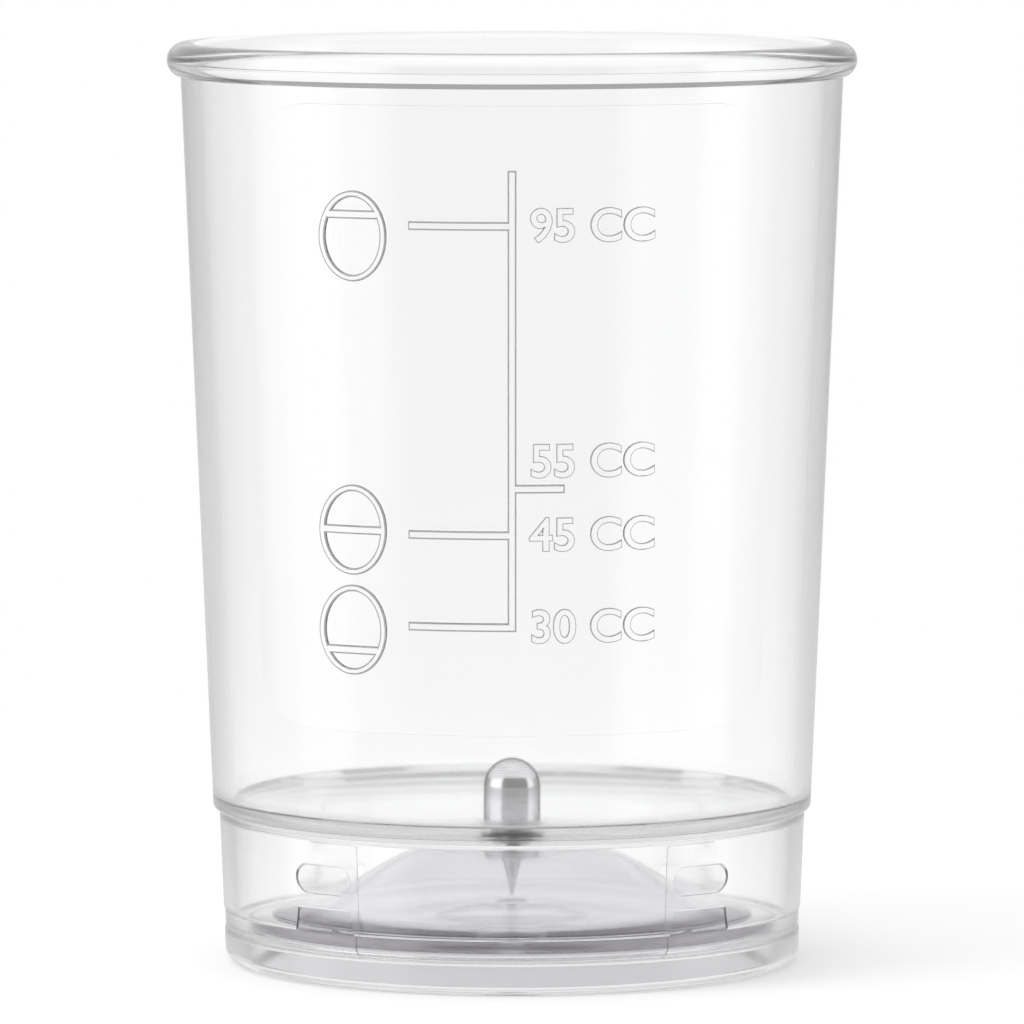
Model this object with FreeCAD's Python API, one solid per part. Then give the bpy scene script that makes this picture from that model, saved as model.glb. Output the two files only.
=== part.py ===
import FreeCAD, Part
import math
import os

from FreeCAD import Vector

# Clear measuring cup with an egg piercer in its base. Millimetres, +Z up, origin on the
# table under the middle of the cup, with the fill scale on the front (-Y) wall.

# Overall
overall_height = 77.0
draft_angle = 2.4

# Snap-in base ring
base_radius = 24.2
foot_height = 2.8
foot_width = 2.3
foot_round = 1.2
foot_inner_round = 0.6
band_height = 1.8
band_recess = 0.1
lip_radius = 19.8
lip_thickness = 0.5
lip_edge_round = 0.2
window_depth = 0.5
window_corner = 0.8

# Snap arms of the base ring
snap_angle = 39.5
arm_root_width = 6.7
arm_tip_width = 5.3
arm_tab_height = 1.95
arm_slit = 0.35
finger_width = 5.6
finger_thickness = 0.45
finger_headroom = 0.55
finger_clearance = 0.15
snap_clearance = 0.06

# Cup wall, rim and skirt
wall = 1.5
skirt_wall = 1.3
ledge_width = 0.5
bead_radius = 1.45
bead_reach = 1.1
skirt_corner_round = 0.4
slot_length = 5.75
slot_height = 2.4
slot_height_above_skirt = 4.4

# Cup floor
floor_thickness = 1.4
floor_dish = 2.3
floor_flat_radius = 8.0
floor_sweep_radius = 70.0
floor_corner_round = 1.3
ledge_below_floor_edge = 1.0

# Egg seat and its travel
seat_thickness = 1.15
seat_dome_height = 1.0
seat_crown_radius = 3.5
seat_brim_radius = 9.5
seat_crown_sweep = 15.0
seat_brim_sweep = 30.0
seat_edge_round = 0.25
seat_clearance = 0.3
seat_rest_gap = 0.05
press_travel = 3.2
travel_margin = 1.0

# Pin and needle
pin_radius = 2.35
pin_height = 5.4
pin_edge_round = 0.15
shank_radius = 0.85
shank_grip = 2.4
pin_clearance = 0.03
seal_radius = 1.8
seal_thickness = 0.4
collar_thickness = 0.5
needle_root_radius = 0.84
needle_tip_radius = 0.1
needle_standoff = 0.5
needle_clearance = 0.4

# Bell spring
spring_thickness = 0.5
spring_bore_radius = 3.0
spring_crest_radius = 5.0
spring_crest_bend = 10.0
spring_knee_radius = 19.0
spring_knee_bend = 10.0
spring_inset = 0.5
spring_edge_round = 0.45
spring_gap = 0.05

# Fill scale, raised on the front wall; heights are water levels above the cup floor
relief_height = 0.25
relief_root = 0.4
panel_height = 0.08
line_width = 0.72
stem_top_level = 56.0
tick_length = 8.35
short_tick_length = 4.25
soft_level = 18.9
medium_level = 26.4
poached_level = 30.2
hard_level = 51.5
egg_offset = 12.85
egg_width = 5.5
egg_height = 7.4
egg_line = 0.55
hard_egg_rise = -0.95
hard_bar_rise = 1.75
medium_egg_rise = 0.2
medium_bar_rise = 0.0
soft_egg_rise = -0.5
soft_bar_rise = -1.65
panel_top_level = 61.2
panel_bottom_level = 10.0
panel_half_width = 20.8
panel_corner = 4.5
panel_lean = 0.35

# Shares that keep a rounded corner inside the straight sides beside it
full_round = 0.999
lip_share = 0.9

# Heights and radii that follow from the sizes above
slope = math.tan(math.radians(draft_angle))
ring_top = foot_height + band_height
lip_top = foot_height + lip_thickness
seat_bottom = lip_top + seat_rest_gap
seat_top = seat_bottom + seat_thickness
seat_apex = seat_top + seat_dome_height
collar_bottom = seat_apex + press_travel + travel_margin
floor_underside = collar_bottom + collar_thickness
floor_top = floor_underside + floor_thickness
floor_edge = floor_top + floor_dish
ledge = floor_edge - ledge_below_floor_edge
slot_level = ring_top + slot_height_above_skirt
bead_level = overall_height - bead_radius
bead_bottom = overall_height - 2 * bead_radius
needle_tip = seat_apex + needle_standoff
seat_hole_radius = needle_root_radius + needle_clearance
through = 2 * base_radius


def skirt_radius(z):
    """Outer radius of the drafted skirt and base ring at a height."""
    return base_radius + (z - ring_top) * slope


def skirt_inside(z):
    return skirt_radius(z) - skirt_wall


def finger_outside(z):
    return skirt_inside(z) - finger_clearance


def finger_inside(z):
    return finger_outside(z) - finger_thickness


def body_radius(z):
    """Outer radius of the drafted cup body at a height."""
    return skirt_radius(z) + ledge_width


def body_inside(z):
    return body_radius(z) - wall


seat_radius = finger_inside(ring_top) - seat_clearance


def rounded_path(corners):
    """Edges in the XZ plane through (x, z, corner radius) points, from the first to the last."""
    points = [Vector(x, 0, z) for x, z, _ in corners]
    edges = []
    start = points[0]
    for i in range(1, len(points) - 1):
        corner = points[i]
        radius = corners[i][2]
        before = points[i - 1] - corner
        after = points[i + 1] - corner
        half_turn = (math.pi - before.getAngle(after)) / 2
        run = radius * math.tan(half_turn)
        into = corner + before.normalize() * run
        out = corner + after.normalize() * run
        edges.append(Part.LineSegment(start, into).toShape())
        if radius > 0:
            inward = (before + after).normalize()
            middle = corner + inward * (radius / math.cos(half_turn) - radius)
            edges.append(Part.Arc(into, middle, out).toShape())
        start = out
    edges.append(Part.LineSegment(start, points[-1]).toShape())
    return edges


def rounded_outline(corners):
    """Closed wire in the XZ plane whose first side is cut in two, so that every corner is rounded."""
    x = (corners[0][0] + corners[1][0]) / 2
    z = (corners[0][1] + corners[1][1]) / 2
    seam = (x, z, 0)
    return Part.Wire(rounded_path([seam] + corners[1:] + corners[:1] + [seam]))


def revolved(edges):
    """Solid of revolution about Z of a closed run of edges."""
    face = Part.Face(Part.Wire(edges))
    return face.revolve(Vector(0, 0, 0), Vector(0, 0, 1), 360)


def turned(corners):
    """Solid of revolution about Z of a rounded outline."""
    return revolved(rounded_outline(corners).Edges)


def front_prism(wire):
    """Solid that runs forwards from the axis with this outline in the XZ plane."""
    return Part.Face(wire).extrude(Vector(0, -through, 0))


def drafted_ring(inner, outer, bottom, top):
    """Ring between two radius rules that both follow the draft."""
    return turned([
        (inner(bottom), bottom, 0),
        (outer(bottom), bottom, 0),
        (outer(top), top, 0),
        (inner(top), top, 0),
    ])


def at_each_snap(shape):
    """Copies of a front shape at the four snap places, mirrored left to right and front to back."""
    right = shape.rotated(Vector(0, 0, 0), Vector(0, 0, 1), snap_angle)
    left = right.mirror(Vector(0, 0, 0), Vector(1, 0, 0))
    front = [right, left]
    back = [one.mirror(Vector(0, 0, 0), Vector(0, 1, 0)) for one in front]
    return front + back


def arm_outline(bottom, top, spread):
    """Trapezoid of a snap arm between two heights, widened by a clearance."""
    def half_width(z):
        share = (z - foot_height) / (ring_top + arm_tab_height - foot_height)
        return (arm_root_width + (arm_tip_width - arm_root_width) * share) / 2 + spread

    return rounded_outline([
        (-half_width(bottom), bottom, 0),
        (half_width(bottom), bottom, 0),
        (half_width(top), top, 0),
        (-half_width(top), top, 0),
    ])


def slot_outline(shrink):
    """Stadium of an oval window in the skirt, drawn in by a clearance."""
    half_length = slot_length / 2 - shrink
    half_height = slot_height / 2 - shrink
    end_round = half_height * full_round
    bottom = slot_level - half_height
    top = slot_level + half_height
    return bar_outline(-half_length, half_length, bottom, top, end_round)


def bar_outline(left, right, bottom, top, corner=0):
    """Upright rectangle in the XZ plane with equal corners."""
    return rounded_outline([
        (left, bottom, corner),
        (right, bottom, corner),
        (right, top, corner),
        (left, top, corner),
    ])


def egg_face(half_width, half_height, middle):
    """Upright ellipse in the XZ plane at the place of the egg signs."""
    ellipse = Part.Ellipse(Vector(0, 0, 0), half_height, half_width).toShape()
    ellipse.rotate(Vector(0, 0, 0), Vector(0, 0, 1), 90)
    ellipse.rotate(Vector(0, 0, 0), Vector(1, 0, 0), 90)
    ellipse.translate(Vector(-egg_offset, 0, middle))
    return Part.Face(Part.Wire(ellipse))


def egg_mark(level, bar_rise):
    """Egg outline with a bar across it, as a prism that runs through the front wall."""
    middle = floor_top + level
    waterline = middle + bar_rise
    outer = egg_face(egg_width / 2, egg_height / 2, middle)
    inner = egg_face(egg_width / 2 - egg_line, egg_height / 2 - egg_line, middle)
    bar = Part.Face(bar_outline(-through, through, waterline - line_width / 2, waterline + line_width / 2))
    flat = outer.cut(inner).fuse(outer.common(bar))
    return flat.extrude(Vector(0, -through, 0))


def fill_scale():
    """Raised stem, ticks and egg signs that show the water levels."""
    half = line_width / 2

    def tick(level, left, right):
        z = floor_top + level
        return front_prism(bar_outline(left, right, z - half, z + half))

    stem = front_prism(bar_outline(-half, half, floor_top + soft_level - half, floor_top + stem_top_level))
    ticks = [tick(level, -tick_length, 0) for level in (soft_level, medium_level, hard_level)]
    ticks.append(tick(poached_level, 0, short_tick_length))
    eggs = [
        egg_mark(hard_level + hard_egg_rise, hard_bar_rise),
        egg_mark(medium_level + medium_egg_rise, medium_bar_rise),
        egg_mark(soft_level + soft_egg_rise, soft_bar_rise),
    ]
    return stem.multiFuse(ticks + eggs)


def fill_panel():
    """Rounded plate behind the fill scale, as a prism that runs through the front wall."""
    bottom = floor_top + panel_bottom_level
    top = floor_top + panel_top_level
    return front_prism(rounded_outline([
        (-panel_half_width + panel_lean, bottom, panel_corner),
        (panel_half_width - panel_lean, bottom, panel_corner),
        (panel_half_width + panel_lean, top, panel_corner),
        (-panel_half_width - panel_lean, top, panel_corner),
    ]))


def wall_skin(height):
    """Thin layer of the body wall, raised outside by a height, that carries the relief."""
    return drafted_ring(
        lambda z: body_radius(z) - relief_root,
        lambda z: body_radius(z) + height,
        ledge + ledge_width,
        bead_bottom,
    )


def cup_shell():
    """Bowl, beaded rim, floor and hollow skirt as one turned moulding."""
    crest = bead_middle()
    neck_radius = body_radius(bead_level - bead_radius)
    neck_level = bead_level - math.sqrt(bead_radius ** 2 - (neck_radius - crest) ** 2)
    shank_hole = shank_radius + pin_clearance
    wall_path = rounded_path([
        (0, floor_underside, 0),
        (floor_flat_radius, floor_underside, floor_sweep_radius),
        (skirt_inside(floor_edge - floor_thickness), floor_edge - floor_thickness, skirt_corner_round),
        (skirt_inside(ring_top), ring_top, 0),
        (skirt_radius(ring_top), ring_top, 0),
        (skirt_radius(ledge), ledge, 0),
        (body_radius(ledge), ledge, ledge_width * full_round),
        (neck_radius, neck_level, 0),
    ])
    bead = Part.Arc(
        Vector(neck_radius, 0, neck_level),
        Vector(crest + bead_radius, 0, bead_level),
        Vector(crest, 0, overall_height),
    ).toShape()
    lid = rounded_path([(crest, overall_height, 0), (0, overall_height, 0), (0, floor_underside, 0)])
    outside = revolved(wall_path + [bead] + lid)
    inside = turned([
        (0, floor_top, 0),
        (floor_flat_radius, floor_top, floor_sweep_radius),
        (body_inside(floor_edge), floor_edge, floor_corner_round),
        (body_inside(overall_height + wall), overall_height + wall, 0),
        (0, overall_height + wall, 0),
    ])
    pin_hole = Part.makeCylinder(shank_hole, through)
    seal_pocket = Part.makeCylinder(seal_radius, through, Vector(0, 0, floor_top - seal_thickness))
    shell = outside.cut(inside)
    lip = [edge for edge in shell.Edges if is_lip(edge)]
    shell = shell.makeFillet(lip_round(), lip)
    return shell.cut(pin_hole).cut(seal_pocket)


def bead_middle():
    """Radius of the circle at the middle of the rim bead."""
    return body_radius(bead_level) + bead_reach - bead_radius


def is_lip(edge):
    """True for the circle where the inside wall meets the top of the rim."""
    level = edge.BoundBox.ZMin
    flat = edge.BoundBox.ZLength < 1e-4
    inside = edge.BoundBox.XMax < body_radius(overall_height) - wall / 2
    return flat and inside and abs(level - overall_height) < 1e-4


def lip_round():
    """Radius that rounds the inside of the rim up to the crest of the bead."""
    return lip_share * (bead_middle() - body_inside(overall_height))


def make_cup_body():
    cup = cup_shell()
    scale = fill_scale().common(wall_skin(relief_height))
    panel = fill_panel().common(wall_skin(panel_height))
    cup = cup.fuse(panel).fuse(scale)
    skirt = drafted_ring(finger_outside, lambda z: skirt_radius(z) + wall, ring_top, ledge)
    slot = front_prism(slot_outline(0)).common(skirt)
    notch_top = ring_top + arm_tab_height + snap_clearance
    notch = front_prism(arm_outline(ring_top, notch_top, snap_clearance)).common(skirt)
    return cup.cut(at_each_snap(slot) + at_each_snap(notch))


def make_base_ring():
    inner_foot = skirt_radius(0) - foot_width
    ring = turned([
        (inner_foot, 0, 0),
        (skirt_radius(0), 0, foot_round),
        (skirt_radius(foot_height), foot_height, 0),
        (skirt_radius(foot_height) - band_recess, foot_height, 0),
        (skirt_radius(ring_top) - band_recess, ring_top, 0),
        (finger_inside(ring_top), ring_top, 0),
        (finger_inside(ring_top), lip_top, 0),
        (lip_radius, lip_top, lip_edge_round),
        (lip_radius, foot_height, lip_edge_round),
        (inner_foot, foot_height, foot_inner_round),
    ])
    return ring.cut(finger_windows() + arm_slits()).multiFuse(at_each_snap(snap_arm()))


def snap_arm():
    """Tab that fills a notch of the skirt, with a finger behind it and a lug for the oval window."""
    tab_top = ring_top + arm_tab_height
    finger_top = floor_edge - floor_thickness - finger_headroom

    def finger_middle(z):
        return finger_outside(z) - finger_thickness / 2

    def flush(z):
        return skirt_radius(z) - band_recess

    tab_ring = drafted_ring(finger_middle, flush, ring_top, tab_top)
    tab = front_prism(arm_outline(ring_top, tab_top, 0)).common(tab_ring)
    blade = front_prism(bar_outline(-finger_width / 2, finger_width / 2, ring_top, finger_top))
    finger = blade.common(drafted_ring(finger_inside, finger_outside, ring_top, finger_top))
    lug_ring = drafted_ring(finger_middle, flush, slot_level - slot_height, slot_level + slot_height)
    lug = front_prism(slot_outline(snap_clearance)).common(lug_ring)
    return tab.multiFuse([finger, lug])


def finger_windows():
    """Front and back gaps between the arms, where a fingernail frees the ring."""
    turn = math.radians(snap_angle)
    middle = base_radius * math.sin(turn)
    half_width = middle - arm_root_width / 2 * math.cos(turn)
    depth = drafted_ring(
        lambda z: skirt_radius(z) - window_depth,
        lambda z: skirt_radius(z) + wall,
        foot_height,
        ring_top,
    )
    outline = bar_outline(-half_width, half_width, foot_height, ring_top + 2 * window_corner, window_corner)
    front = front_prism(outline).common(depth)
    return [front, front.mirror(Vector(0, 0, 0), Vector(0, 1, 0))]


def arm_slits():
    """Narrow cuts beside the arms that let them flex."""
    depth = drafted_ring(
        finger_inside,
        lambda z: skirt_radius(z) + wall,
        foot_height,
        ring_top,
    )
    beside = arm_root_width / 2
    slit = front_prism(bar_outline(beside, beside + arm_slit, foot_height, ring_top)).common(depth)
    return at_each_snap(slit)


def make_egg_seat():
    """Thin round plate that the egg pushes up, domed in the middle and holed for the needle."""
    return turned([
        (seat_hole_radius, seat_apex, 0),
        (seat_hole_radius, seat_bottom + seat_dome_height, 0),
        (seat_crown_radius, seat_bottom + seat_dome_height, seat_crown_sweep),
        (seat_brim_radius, seat_bottom, seat_brim_sweep),
        (seat_radius, seat_bottom, seat_edge_round),
        (seat_radius, seat_top, seat_edge_round),
        (seat_brim_radius, seat_top, seat_brim_sweep),
        (seat_crown_radius, seat_apex, seat_crown_sweep),
    ])


def make_bell_spring():
    """Thin turned bell that stands on the seat and bears up against the cup floor."""
    crest = floor_underside - spring_gap
    foot = seat_top + spring_gap
    foot_radius = seat_radius - spring_inset
    return turned([
        (spring_bore_radius, crest - spring_thickness, 0),
        (spring_bore_radius, crest, 0),
        (spring_crest_radius, crest, spring_crest_bend),
        (spring_knee_radius, foot + spring_thickness, spring_knee_bend),
        (foot_radius, foot + spring_thickness, spring_edge_round),
        (foot_radius, foot, 0),
        (spring_knee_radius, foot, spring_knee_bend),
        (spring_crest_radius, crest - spring_thickness, spring_crest_bend),
    ])


def make_pin_cap():
    top = floor_top + pin_height
    cap = turned([
        (0, floor_top, 0),
        (pin_radius, floor_top, pin_edge_round),
        (pin_radius, top, pin_radius * full_round),
        (0, top, 0),
    ])
    socket = Part.makeCylinder(shank_radius + pin_clearance, shank_grip, Vector(0, 0, floor_top))
    return cap.cut(socket)


def make_pin_seal():
    washer = Part.makeCylinder(seal_radius, seal_thickness, Vector(0, 0, floor_top - seal_thickness))
    bore = Part.makeCylinder(shank_radius + pin_clearance, through)
    return washer.cut(bore)


def make_piercing_needle():
    return turned([
        (0, needle_tip, 0),
        (needle_tip_radius, needle_tip, 0),
        (needle_root_radius, collar_bottom, 0),
        (pin_radius, collar_bottom, 0),
        (pin_radius, floor_underside, 0),
        (shank_radius, floor_underside, 0),
        (shank_radius, floor_top + shank_grip, 0),
        (0, floor_top + shank_grip, 0),
    ])


nodes = {
    "cup_body": make_cup_body,
    "base_ring": make_base_ring,
    "egg_seat": make_egg_seat,
    "bell_spring": make_bell_spring,
    "pin_cap": make_pin_cap,
    "pin_seal": make_pin_seal,
    "piercing_needle": make_piercing_needle,
}

os.makedirs("parts", exist_ok=True)
for node, make in nodes.items():
    shape = make()
    shape.exportStep(f"parts/{node}.step")
    print(node, "solids", len(shape.Solids), "valid", shape.isValid(), "volume", round(shape.Volume, 2))
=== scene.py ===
# %% [markdown]
# # A clear measuring cup with an egg piercer in its base
# The cup is a thin clear moulding, so its look comes from true wall thickness: every piece
# below is a closed solid that light can enter and leave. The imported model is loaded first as
# a fixed frame, and each new piece takes its place and its body from that frame.

# %% The frame and the tools
import math

import bmesh
import bpy
import numpy as np
from mathutils import Matrix, Vector


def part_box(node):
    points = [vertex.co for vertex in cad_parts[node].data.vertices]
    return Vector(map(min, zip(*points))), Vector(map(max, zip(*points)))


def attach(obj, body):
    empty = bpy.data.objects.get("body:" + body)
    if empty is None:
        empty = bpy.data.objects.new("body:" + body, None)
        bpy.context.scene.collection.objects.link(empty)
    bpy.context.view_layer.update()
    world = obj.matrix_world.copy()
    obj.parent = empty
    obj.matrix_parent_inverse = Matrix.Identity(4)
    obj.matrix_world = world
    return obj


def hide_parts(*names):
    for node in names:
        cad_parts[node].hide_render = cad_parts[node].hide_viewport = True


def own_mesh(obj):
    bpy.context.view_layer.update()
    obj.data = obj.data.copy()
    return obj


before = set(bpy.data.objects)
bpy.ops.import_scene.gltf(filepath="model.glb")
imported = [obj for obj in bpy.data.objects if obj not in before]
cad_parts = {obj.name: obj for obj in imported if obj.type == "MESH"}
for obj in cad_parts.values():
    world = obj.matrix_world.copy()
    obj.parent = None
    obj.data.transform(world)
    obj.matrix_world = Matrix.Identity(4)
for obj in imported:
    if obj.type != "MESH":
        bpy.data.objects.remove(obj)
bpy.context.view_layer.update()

scene = bpy.context.scene

# %% [markdown]
# ## Sizes
# Heights and outer sizes are read from the frame, so that the pieces stay on the solids they
# stand for. Only the sections inside a wall are named here, in millimetres: they follow the
# same few sizes that an injection mould for the cup would start from.

# %% Sizes read from the frame
mm = 0.001
cup_low, cup_high = [Vector(corner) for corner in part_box("cup_body")]
ring_low = Vector(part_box("base_ring")[0])
seat_low, seat_high = [Vector(corner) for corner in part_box("egg_seat")]
spring_low, spring_high = [Vector(corner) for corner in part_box("bell_spring")]
pin_low, pin_high = [Vector(corner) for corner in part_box("pin_cap")]
needle_low, needle_high = [Vector(corner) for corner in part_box("piercing_needle")]
seal_low, seal_high = [Vector(corner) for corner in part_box("pin_seal")]

rim_top = cup_high.z
skirt_bottom = cup_low.z
floor_top = pin_low.z
floor_underside = floor_top - 1.4 * mm
floor_edge = floor_top + 2.3 * mm
ledge = floor_edge - 1.0 * mm
print("cup from", round(skirt_bottom / mm, 2), "to", round(rim_top / mm, 2), "mm")

# %% The drafted wall
draft = math.tan(math.radians(2.4))
base_radius = 24.2 * mm
wall = 1.5 * mm
skirt_wall = 1.3 * mm
ledge_width = 0.5 * mm


def skirt_radius(z):
    """Outer radius of the skirt and the base ring at a height."""
    return base_radius + (z - skirt_bottom) * draft


def body_radius(z):
    """Outer radius of the cup above its ledge."""
    return skirt_radius(z) + ledge_width


def body_inside(z):
    return body_radius(z) - wall


def skirt_inside(z):
    return skirt_radius(z) - skirt_wall


print("rim of the wall", round(body_radius(rim_top) / mm, 2), "mm from the axis")

# %% [markdown]
# ## Drawing a section
# A moulded piece has no sharp corner: each one has at least a small rounding, and it is that
# rounding which catches the light. A section is therefore written as corners with a rounding
# each, and this helper puts the arcs in.

# %% Rounded sections
arc_step = math.radians(7.5)


def arc(centre, radius, start, end):
    """Points along an arc from one angle to another."""
    count = max(3, math.ceil(abs(end - start) / arc_step))
    angles = [start + (end - start) * i / count for i in range(count + 1)]
    return [centre + radius * Vector((math.cos(a), math.sin(a))) for a in angles]


def rounded(corners, closed=True):
    """Points along (across, up, rounding) corners, with an arc at each rounded one."""
    places = [Vector(corner[:2]) for corner in corners]
    points = []
    for i, (_, _, rounding) in enumerate(corners):
        corner = places[i]
        at_end = not closed and i in (0, len(corners) - 1)
        if at_end or rounding == 0:
            points.append(corner)
            continue
        before = (places[i - 1] - corner).normalized()
        after = (places[(i + 1) % len(places)] - corner).normalized()
        half_turn = (math.pi - before.angle(after)) / 2
        centre = corner + (before + after).normalized() * rounding / math.cos(half_turn)
        inward = corner + before * rounding * math.tan(half_turn) - centre
        start = math.atan2(inward.y, inward.x)
        side = before.x * after.y - before.y * after.x
        points += arc(centre, rounding, start, start - math.copysign(2 * half_turn, side))
    return points


# %% [markdown]
# ## Turning a section into a piece
# The cup, ring, seat and pin all follow one rule: a section turned about the upright axis. A
# Screw modifier could do this, but a Geometry Nodes tree keeps the rule in one place with the
# number of steps as an input. The section is swept along a circle, and the result is made a
# plain mesh with its poles merged.

# %% The turning tree
path_radius = 20 * mm


def add_node(tree, kind, **settings):
    """New node with its settings; a setting whose name starts with a capital is an input."""
    made = tree.nodes.new(kind)
    for name, value in settings.items():
        if name[0].islower():
            setattr(made, name, value)
            continue
        socket = made.inputs[name.replace("_", " ")]
        if isinstance(value, bpy.types.NodeSocket):
            tree.links.new(value, socket)
        else:
            socket.default_value = value
    return made


def calc(tree, operation, *values):
    """Output of a Math node on numbers or sockets."""
    made = tree.nodes.new("ShaderNodeMath")
    made.operation = operation
    for socket, value in zip(made.inputs, values):
        if isinstance(value, bpy.types.NodeSocket):
            tree.links.new(value, socket)
        else:
            socket.default_value = value
    return made.outputs[0]


def new_tree(name, inputs):
    """Geometry tree with a geometry in and out and named inputs between."""
    tree = bpy.data.node_groups.new(name, "GeometryNodeTree")
    tree.interface.new_socket("Geometry", in_out="INPUT", socket_type="NodeSocketGeometry")
    for label, kind in inputs.items():
        tree.interface.new_socket(label, in_out="INPUT", socket_type="NodeSocket" + kind)
    tree.interface.new_socket("Geometry", in_out="OUTPUT", socket_type="NodeSocketGeometry")
    entry = tree.nodes.new("NodeGroupInput").outputs
    return tree, entry


def close_tree(tree, entry, geometry):
    """End a tree in Realize Instances and Set Material."""
    real = add_node(tree, "GeometryNodeRealizeInstances", Geometry=geometry)
    dressed = add_node(tree, "GeometryNodeSetMaterial", Geometry=real.outputs[0], Material=entry["Material"])
    end = tree.nodes.new("NodeGroupOutput")
    tree.links.new(dressed.outputs[0], end.inputs[0])
    return tree


def turning_tree():
    tree, entry = new_tree("TurnedSection", {"Path Radius": "Float", "Steps": "Int", "Material": "Material"})
    section = add_node(tree, "GeometryNodeMeshToCurve", Mesh=entry["Geometry"])
    inward = add_node(tree, "ShaderNodeCombineXYZ", X=calc(tree, "MULTIPLY", entry["Path Radius"], -1))
    placed = add_node(
        tree, "GeometryNodeTransform", Geometry=section.outputs[0], Translation=inward.outputs[0])
    path = add_node(
        tree, "GeometryNodeCurvePrimitiveCircle", Resolution=entry["Steps"], Radius=entry["Path Radius"])
    upright = add_node(tree, "GeometryNodeSetCurveNormal", mode="Z_UP", Curve=path.outputs[0])
    skin = add_node(
        tree, "GeometryNodeCurveToMesh", Curve=upright.outputs[0], Profile_Curve=placed.outputs[0])
    return close_tree(tree, entry, skin.outputs[0])


turned_section = turning_tree()
print("tree:", turned_section.name)

# %% Running a tree on a mesh


def plain_mesh(piece):
    """The evaluated mesh of an object as plain mesh data."""
    piece.update_tag()
    evaluated = piece.evaluated_get(bpy.context.evaluated_depsgraph_get())
    return bpy.data.meshes.new_from_object(evaluated)


def tidy_mesh(mesh):
    """Merge doubles and point the faces of a closed mesh outwards."""
    shape = bmesh.new()
    shape.from_mesh(mesh)
    bmesh.ops.remove_doubles(shape, verts=shape.verts, dist=0.0005 * mm)
    bmesh.ops.dissolve_degenerate(shape, edges=shape.edges, dist=0.0005 * mm)
    bmesh.ops.recalc_face_normals(shape, faces=shape.faces)
    shape.to_mesh(mesh)
    shape.free()


def new_piece(name, mesh):
    piece = bpy.data.objects.new(name, mesh)
    scene.collection.objects.link(piece)
    return piece


def run_tree(piece, tree, values):
    """Shape a piece with a tree and named input values, and leave it as plain mesh."""
    modifier = piece.modifiers.new(tree.name, "NODES")
    modifier.node_group = tree
    for socket in tree.interface.items_tree:
        if socket.in_out == "INPUT" and socket.name in values:
            modifier[socket.identifier] = values[socket.name]
    piece.data = plain_mesh(piece)
    piece.modifiers.clear()
    tidy_mesh(piece.data)


def turned(name, section, material, steps=240, closed=True):
    """Piece made by turning a section about the upright axis."""
    count = len(section)
    edges = [(i, (i + 1) % count) for i in range(count if closed else count - 1)]
    mesh = bpy.data.meshes.new(name)
    mesh.from_pydata([(point.x, -point.y, 0) for point in section], edges, [])
    piece = new_piece(name, mesh)
    run_tree(piece, turned_section, {"Path Radius": path_radius, "Steps": steps, "Material": material})
    return piece


# %% [markdown]
# ## Bending flat signs and cutters onto the wall
# The fill scale, the windows in the skirt and the snap arms are all flat shapes that lie on
# the drafted wall. Each is drawn flat as a filled curve with a soft edge, cut into narrow
# strips so that it can bend, and then wrapped round the wall by a second tree, which also
# repeats it on both sides and at the back. A mould opens along one line, so the flanks of
# windows and arms can be pulled straight instead of pointing at the axis.

# %% The wrapping tree


def wrapping_tree():
    tree, entry = new_tree("WrappedOnWall", {
        "Table Radius": "Float", "Draft": "Float", "Per Side": "Int", "Snap Angle": "Float",
        "Straight Pull": "Float", "Pull Depth": "Float", "Sides": "Int", "Material": "Material"})
    place = tree.nodes.new("GeometryNodeInputPosition").outputs[0]
    across, depth, up = add_node(tree, "ShaderNodeSeparateXYZ", Vector=place).outputs
    surface = calc(tree, "MULTIPLY_ADD", up, entry["Draft"], entry["Table Radius"])
    own_turn = calc(tree, "ARCSINE", calc(tree, "DIVIDE", across, surface))
    turn = calc(tree, "ADD", own_turn, entry["Snap Angle"])
    reach = calc(tree, "ADD", surface, depth)
    side_depth = add_node(
        tree, "ShaderNodeMix", data_type="FLOAT", Factor=entry["Straight Pull"], A=depth, B=entry["Pull Depth"])
    sideways = calc(
        tree, "MULTIPLY", calc(tree, "ADD", surface, side_depth.outputs["Result"]), calc(tree, "SINE", turn))
    forward = calc(tree, "SQRT", calc(
        tree, "SUBTRACT", calc(tree, "MULTIPLY", reach, reach), calc(tree, "MULTIPLY", sideways, sideways)))
    bent = add_node(
        tree, "ShaderNodeCombineXYZ", X=sideways, Y=calc(tree, "MULTIPLY", forward, -1), Z=up)
    wrapped = add_node(
        tree, "GeometryNodeSetPosition", Geometry=entry["Geometry"], Position=bent.outputs[0])
    index = tree.nodes.new("GeometryNodeInputIndex").outputs[0]

    def repeated(geometry, count, **change):
        points = add_node(tree, "GeometryNodePoints", Count=count)
        copies = add_node(
            tree, "GeometryNodeInstanceOnPoints", Points=points.outputs[0], Instance=geometry, **change)
        return add_node(tree, "GeometryNodeRealizeInstances", Geometry=copies.outputs[0]).outputs[0]

    mirror = add_node(tree, "ShaderNodeCombineXYZ", X=calc(tree, "MULTIPLY_ADD", index, -2, 1), Y=1, Z=1)
    side = repeated(wrapped.outputs[0], entry["Per Side"], Scale=mirror.outputs[0])
    spin = add_node(tree, "ShaderNodeCombineXYZ", Z=calc(tree, "MULTIPLY", index, math.pi))
    half_turn = add_node(tree, "FunctionNodeEulerToRotation", Euler=spin.outputs[0])
    both = repeated(side, entry["Sides"], Rotation=half_turn.outputs[0])
    return close_tree(tree, entry, both)


wrapped_on_wall = wrapping_tree()
print("tree:", wrapped_on_wall.name)

# %% Flat shapes
strip_width = 0.8 * mm


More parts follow.
